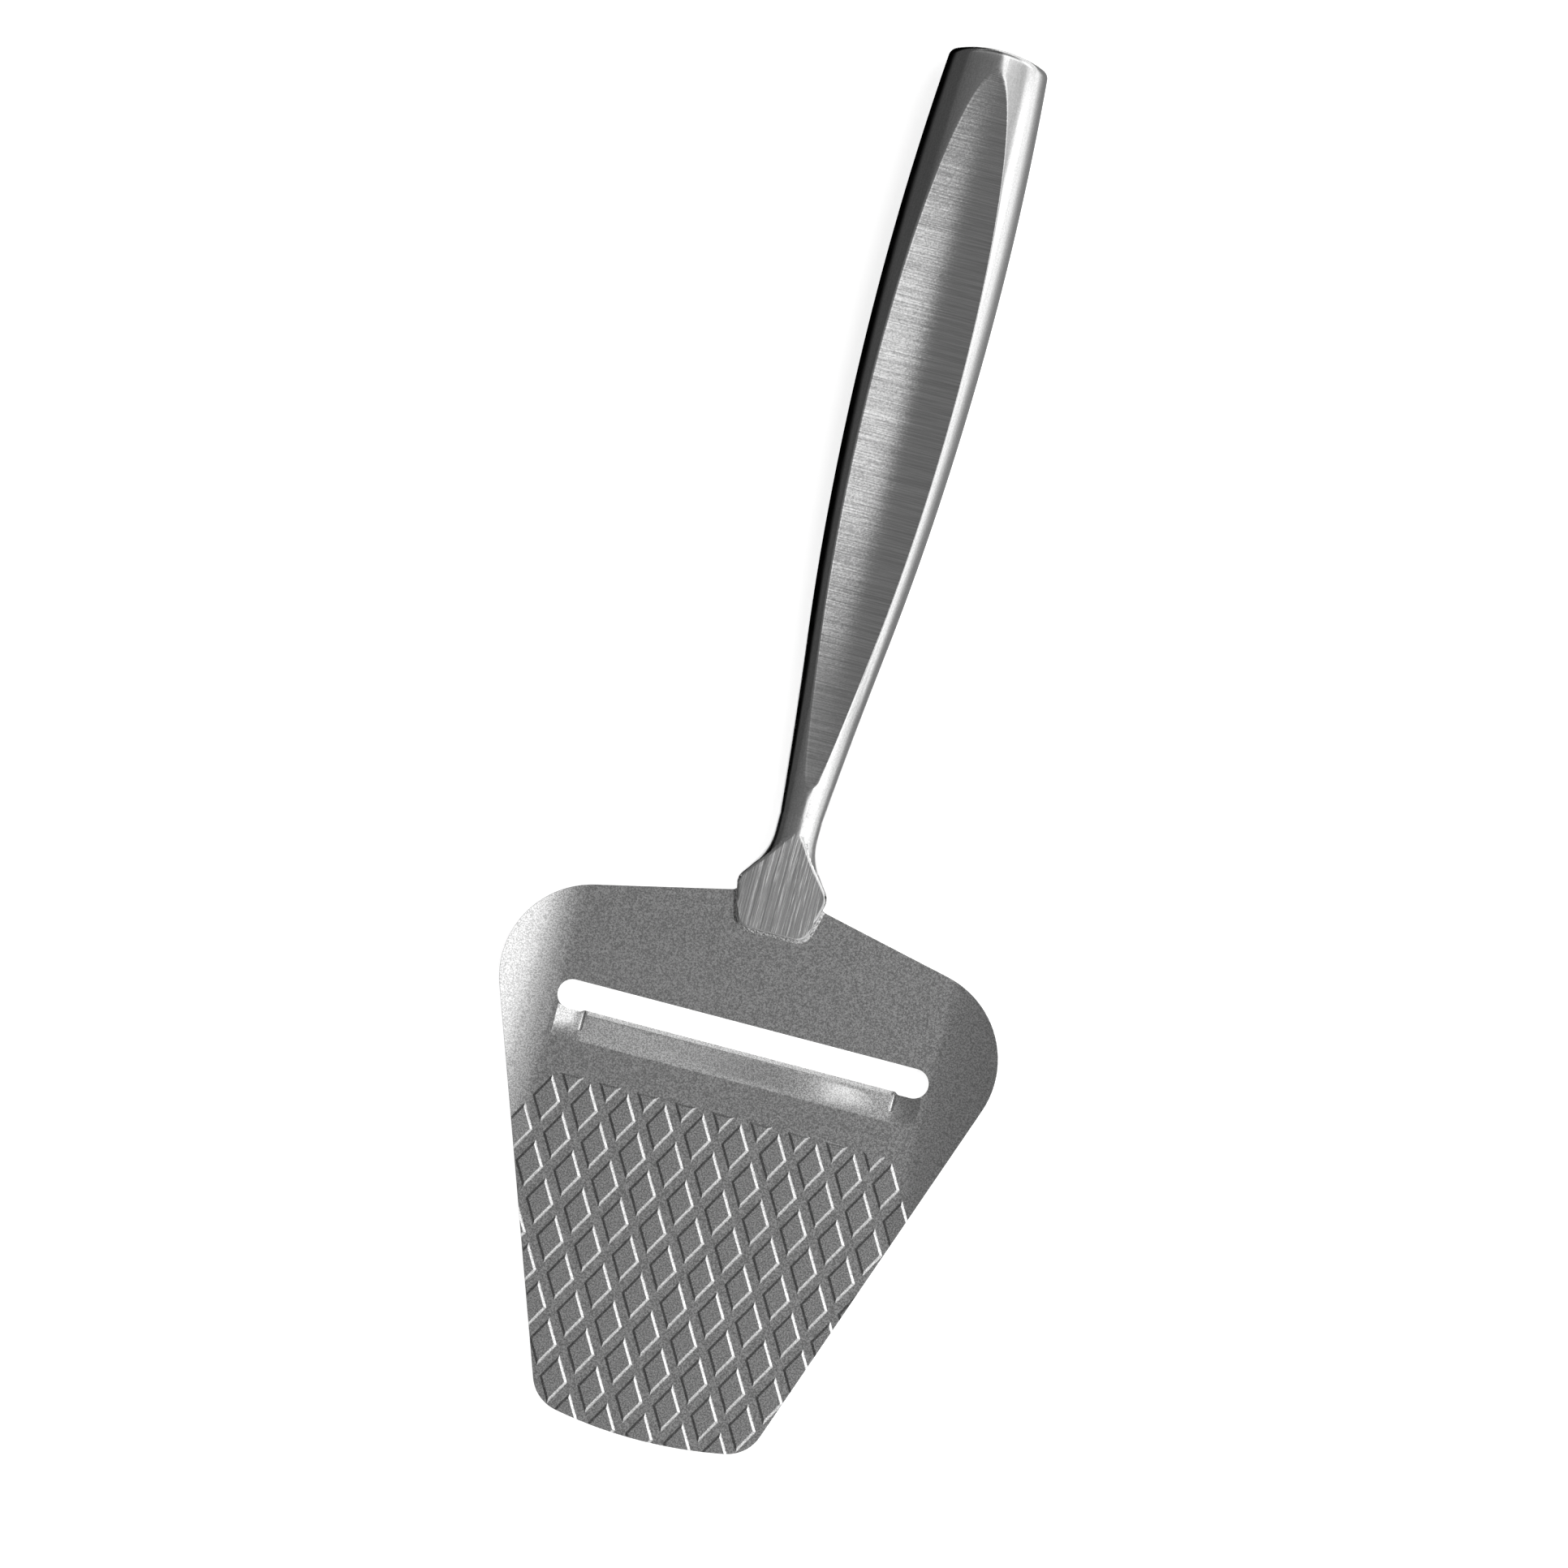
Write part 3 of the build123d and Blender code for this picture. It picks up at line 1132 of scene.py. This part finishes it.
@dataclass(frozen=True)
class Studio:
    """Pale floor, soft light from the right and the camera straight above.

    Lengths are in millimetres, and the sky's directions are one long.

    Attributes:
        view_turn: Angle in degrees by which the picture is turned.
        view_width: Width that the picture shows.
        view_centre: Middle of the picture.
        camera_height: Height of the camera.
        camera_reach: How far the camera sees.
        sensor: Width of the camera's sensor.
        floor_size: Side of the floor.
        floor_shade: Level of grey of the floor.
        floor_lift: Light that the floor adds of itself where it shows as the backdrop.
        lamp_height: Distance of the lamp from the middle of the slicer.
        lamp_angle: Angle in degrees from straight up towards the right.
        lamp_width: Width of the lamp.
        lamp_length: Length of the lamp.
        lamp_level: Level of the lamp.
        horizon: Heights of a direction between which the white backdrop comes in.
        ahead: How far forward a direction points where the sky grows brighter.
        ahead_gain: How many times brighter it grows.
        low_ahead: How far forward a direction points where the sky fades.
        low_gain: How many times brighter it is beyond.
        sky: The sky's levels from left to right.
        cards: The cards beside and over the handle, painted light and painted shade that only gloss
            sees.
    """

    view_turn: float = 14.7
    view_width: float = 261.6
    view_centre: Point = (-4.2, -7.84)
    camera_height: float = 6000.0
    camera_reach: float = 20000.0
    sensor: float = 36.0
    floor_size: float = 6000.0
    floor_shade: float = 0.88
    floor_lift: float = 0.72
    lamp_height: float = 1650.0
    lamp_angle: float = 15.0
    lamp_width: float = 400.0
    lamp_length: float = 2600.0
    lamp_level: float = 0.7
    horizon: Span = (0.12, 0.06)
    ahead: Span = (0.15, 0.4)
    ahead_gain: float = 1.8
    low_ahead: Span = (0.6, 0.85)
    low_gain: float = 0.25
    sky: tuple[Glow, ...] = (
        Glow(-90.0, 0.11),
        Glow(-60.0, 0.17),
        Glow(-20.0, 0.21),
        Glow(-1.0, 0.23),
        Glow(3.0, 0.34),
        Glow(7.0, 0.8),
        Glow(25.0, 1.0),
        Glow(50.0, 0.82),
        Glow(66.0, 0.72),
        Glow(78.0, 1.3),
        Glow(90.0, 1.35),
    )
    cards: tuple[Card, ...] = (
        Card("card_left", (-700.0, -26.0, 0.3), (-9.0, 500.0, 0.3), DARK_PAINTED_SHADE),
        Card("card_far_left", (-700.0, -500.0, 0.3), (-46.0, -26.0, 0.3), DARK_PAINTED_SHADE),
        Card("card_standing", (-700.0, -900.0, 0.0), (-700.0, 900.0, 160.0), DARK_PAINTED_SHADE),
        Card("card_right", (9.0, 4.0, 0.3), (400.0, 130.0, 0.3), PALE),
        Card("card_beside", (150.0, -10.0, 0.3), (150.0, 130.0, 56.0), WHITE_ALL_OVER),
        Card("card_neck_top", (2.5, -21.0, 68.0), (16.0, 6.0, 68.0), DIM_ALL_OVER),
        Card("card_neck_right", (9.0, -26.0, 0.3), (400.0, 4.0, 0.3), GREY),
        Card("card_neck", (30.0, -21.0, 4.0), (16.0, 6.0, 68.0), BRIGHT),
    )

    def build(self) -> None:
        """Set up the view, the world, the floor, the cards and the lamp."""
        self.camera()
        self.world()
        self.floor()
        for card in self.cards:
            self.hang(card)
        self.lamp()

    def camera(self) -> None:
        """Stand the camera over the blade and turn it as the picture is turned."""
        data = bpy.data.cameras.new("camera")
        data.sensor_width = self.sensor
        data.lens = self.sensor * self.camera_height / self.view_width
        data.clip_end = self.camera_reach * MM
        camera = bpy.data.objects.new("camera", data)
        camera.location = Vector((*self.view_centre, self.camera_height)) * MM
        camera.rotation_euler = (0.0, 0.0, radians(self.view_turn))
        bpy.context.collection.objects.link(camera)
        bpy.context.scene.camera = camera
        bpy.context.scene.view_settings.view_transform = "Standard"

    def seen(self, graph: Graph) -> Socket:
        """1 for rays that show the backdrop: straight to the camera, in gloss or through glass.

        Args:
            graph: The tree that asks.

        Returns:
            The share's socket.
        """
        path = graph.add("ShaderNodeLightPath").outputs
        gloss = graph.math("MAXIMUM", path["Is Glossy Ray"], path["Is Transmission Ray"])
        return graph.math("MAXIMUM", path["Is Camera Ray"], gloss)

    def ramp(self, graph: Graph, direction: Socket) -> Socket:
        """Level of the sky, by the angle at which it is seen from left to right.

        Args:
            graph: The world's tree.
            direction: The direction.

        Returns:
            The level's socket.
        """
        parts = graph.parts(direction)
        angle = graph.math("ARCTAN2", parts["X"], parts["Z"])
        share = graph.math("MULTIPLY_ADD", angle, 1 / pi, MIDDLE)
        ramp = graph.add("ShaderNodeValToRGB", None, Fac=share)
        stops = ramp.color_ramp.elements
        while len(stops) < len(self.sky):
            stops.new(1.0)
        for stop, glow in zip(stops, self.sky):
            stop.position = glow.place / HALF_TURN + MIDDLE
            stop.color = (glow.level, glow.level, glow.level, 1.0)
        return ramp.outputs["Color"]

    def world(self) -> None:
        """White backdrop round the horizon, and above it light that grows from left to right."""
        world = bpy.data.worlds.new("studio")
        bpy.context.scene.world = world
        graph = Graph(world)
        direction = graph.add("ShaderNodeTexCoord").outputs["Generated"]
        parts = graph.parts(direction)
        camera = graph.add("ShaderNodeLightPath").outputs["Is Camera Ray"]
        horizon = graph.math("MULTIPLY", self.seen(graph), graph.remap(parts["Z"], *self.horizon))
        white = graph.math("MAXIMUM", camera, horizon)
        level = graph.math("MAXIMUM", self.ramp(graph, direction), white)
        ahead = graph.remap(parts["Y"], *self.ahead, 1.0, self.ahead_gain)
        low = graph.remap(parts["Y"], *self.low_ahead, 1.0, self.low_gain)
        gain = graph.blend(camera, graph.math("MULTIPLY", ahead, low), 1.0)
        strength = graph.math("MULTIPLY", level, gain)
        sky = graph.add("ShaderNodeBackground", None, Color=WHITE, Strength=strength)
        graph.add("ShaderNodeOutputWorld", None, Surface=sky.outputs[0])

    def sheet(
        self, name: str, low: Vector, high: Vector, finish: bpy.types.Material
    ) -> bpy.types.Object:
        """Stage a rectangle between two opposite corners, with two of its sides along Y.

        Args:
            name: The object's name.
            low: One corner in millimetres.
            high: The opposite corner.
            finish: The sheet's material.

        Returns:
            The staged object.
        """
        corners = [low, Vector((high.x, low.y, high.z)), high, Vector((low.x, high.y, low.z))]
        mesh = bpy.data.meshes.new(name)
        mesh.from_pydata([corner * MM for corner in corners], [], [(0, 1, 2, 3)])
        mesh.materials.append(finish)
        sheet = bpy.data.objects.new(name, mesh)
        bpy.context.collection.objects.link(sheet)
        sheet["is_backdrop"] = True
        return sheet

    def floor(self) -> None:
        """Lay the pale floor that the slicer stands on, which keeps the slicer's shadow."""
        finish = bpy.data.materials.new("floor")
        graph = Graph(finish)
        shade = (self.floor_shade, self.floor_shade, self.floor_shade, 1.0)
        diffuse = graph.add("ShaderNodeBsdfDiffuse", None, Color=shade)
        lift = graph.math("MULTIPLY", self.seen(graph), self.floor_lift)
        glow = graph.add("ShaderNodeEmission", None, Strength=lift)
        both = graph.add("ShaderNodeAddShader", None, in0=diffuse.outputs[0], in1=glow.outputs[0])
        graph.add("ShaderNodeOutputMaterial", None, Surface=both.outputs[0])
        half = self.floor_size / 2
        self.sheet("floor", Vector((-half, -half, 0.0)), Vector((half, half, 0.0)), finish)
        LOG.info("laid the floor")

    def hang(self, card: Card) -> None:
        """Hang one card where only gloss sees it.

        Args:
            card: The card.
        """
        finish = bpy.data.materials.new(card.name)
        graph = Graph(finish)
        near, far = card.fade
        across = graph.parts(graph.place())["X"]
        strength = graph.remap(across, near.place, far.place, near.level, far.level)
        glow = graph.add("ShaderNodeEmission", None, Strength=strength)
        graph.add("ShaderNodeOutputMaterial", None, Surface=glow.outputs[0])
        sheet = self.sheet(card.name, Vector(card.low), Vector(card.high), finish)
        sheet.visible_camera = False
        sheet.visible_diffuse = False
        sheet.visible_shadow = False
        sheet.visible_transmission = False
        LOG.info("hung %s", card.name)

    def lamp(self) -> None:
        """Hang the long soft lamp over the right-hand side."""
        data = bpy.data.lights.new("lamp", "AREA")
        data.shape = "RECTANGLE"
        data.size = self.lamp_width * MM
        data.size_y = self.lamp_length * MM
        data.energy = self.lamp_level * pi * data.size * data.size_y
        lamp = bpy.data.objects.new("lamp", data)
        angle = radians(self.lamp_angle)
        lamp.location = Vector((sin(angle), 0.0, cos(angle))) * self.lamp_height * MM
        lamp.rotation_euler = (0.0, angle, 0.0)
        lamp.visible_camera = False
        bpy.context.collection.objects.link(lamp)
        LOG.info("hung the lamp")


@dataclass(frozen=True)
class Shank:
    """The bar, which keeps its solid's form but for the rim of its palm, which is rounded.

    Attributes:
        finish: The shank's finish.
        rounding: Width of the rounding in millimetres.
        steps: Number of facets across it.
        profile: Shape of the rounding, where a half is round.
        least_flat: Least cosine between a face of the palm's flat and its direction.
        most_beside: Most cosine between a face beside the rim and that direction.
        even: Cosine from which a face is shaded flat, like the palm or a level face.
        smooth_angle: Angle in degrees up to which the shading runs on across an edge.
        merge: Distance in millimetres within which points become one.
        join_angle: Angle in degrees up to which faces beside each other become one.
    """

    finish: Steel = PalmSteel()
    rounding: float = 0.4
    steps: int = 6
    profile: float = 0.5
    least_flat: float = 0.999
    most_beside: float = 0.95
    even: float = 0.9999
    smooth_angle: float = 14.0
    merge: float = 0.0001
    join_angle: float = 0.02

    def on_rim(self, edge: bmesh.types.BMEdge) -> bool:
        """Tell whether an edge lies on the palm's rim.

        Args:
            edge: The edge.

        Returns:
            Whether one side of the edge is the palm's flat and the other drops away.
        """
        if len(edge.link_faces) != 2 or not edge.is_convex:
            return False
        low, high = sorted(face.normal.dot(PALM_UP) for face in edge.link_faces)
        return high > self.least_flat and low < self.most_beside

    def is_even(self, normal: Vector) -> bool:
        """Tell whether a face with this normal is shaded flat."""
        return normal.dot(PALM_UP) >= self.even or abs(normal.z) >= self.even

    def mesh(self, solid: bpy.types.Mesh) -> bpy.types.Mesh:
        """Copy the solid's mesh and round the palm's rim.

        Args:
            solid: The solid's mesh.

        Returns:
            The new mesh.
        """
        mesh = bmesh.new()
        mesh.from_mesh(solid)
        bmesh.ops.remove_doubles(mesh, verts=mesh.verts, dist=self.merge * MM)
        limit = radians(self.join_angle)
        bmesh.ops.dissolve_limit(mesh, angle_limit=limit, verts=mesh.verts, edges=mesh.edges)
        rim = [edge for edge in mesh.edges if self.on_rim(edge)]
        sizes = {"offset": self.rounding * MM, "segments": self.steps, "profile": self.profile}
        bmesh.ops.bevel(mesh, geom=rim, affect="EDGES", **sizes)
        data = bpy.data.meshes.new("bar")
        mesh.to_mesh(data)
        mesh.free()
        data.set_sharp_from_angle(angle=radians(self.smooth_angle))
        for polygon in data.polygons:
            polygon.use_smooth = not self.is_even(polygon.normal)
        LOG.info("rounded %d edges of the palm", len(rim))
        return data

    def build(self, node: bpy.types.Object) -> bpy.types.Object:
        """Make the shank from a copy of its solid.

        Args:
            node: The solid.

        Returns:
            The new object.
        """
        data = self.mesh(node.data)
        data.materials.clear()
        data.materials.append(self.finish.make())
        bar = bpy.data.objects.new("bar", data)
        bpy.context.collection.objects.link(bar)
        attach(bar, "root")
        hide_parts("shank")
        LOG.info("built %s", bar.name)
        return bar


@dataclass(frozen=True)
class Blade:
    """The blade and the weld bead on it, which keep their solids' forms.

    Attributes:
        sheet: The blade's finish.
        bead: The bead's finish.
    """

    sheet: Steel = BlastedSteel()
    bead: Steel = WeldSteel()

    def dress(self, nodes: dict[str, bpy.types.Object]) -> None:
        """Give both solids their finishes.

        Args:
            nodes: The model's solids by name.
        """
        for name, steel in (("slicing_plate", self.sheet), ("palm_weld", self.bead)):
            finish = steel.make()
            for each in nodes[name].material_slots:
                each.link = "OBJECT"
                each.material = finish
            LOG.info("dressed %s", name)


def main() -> None:
    """Build and dress the slicer, part by part, in its studio."""
    logging.basicConfig(level=logging.INFO, format="%(name)s: %(message)s")
    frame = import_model()
    cad_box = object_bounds()
    Studio().build()
    Blade().dress(frame["nodes"])
    Shank().build(frame["nodes"]["shank"])
    Handle(tip=cad_box[0][1] / MM).build()


if __name__ == "__main__":
    main()
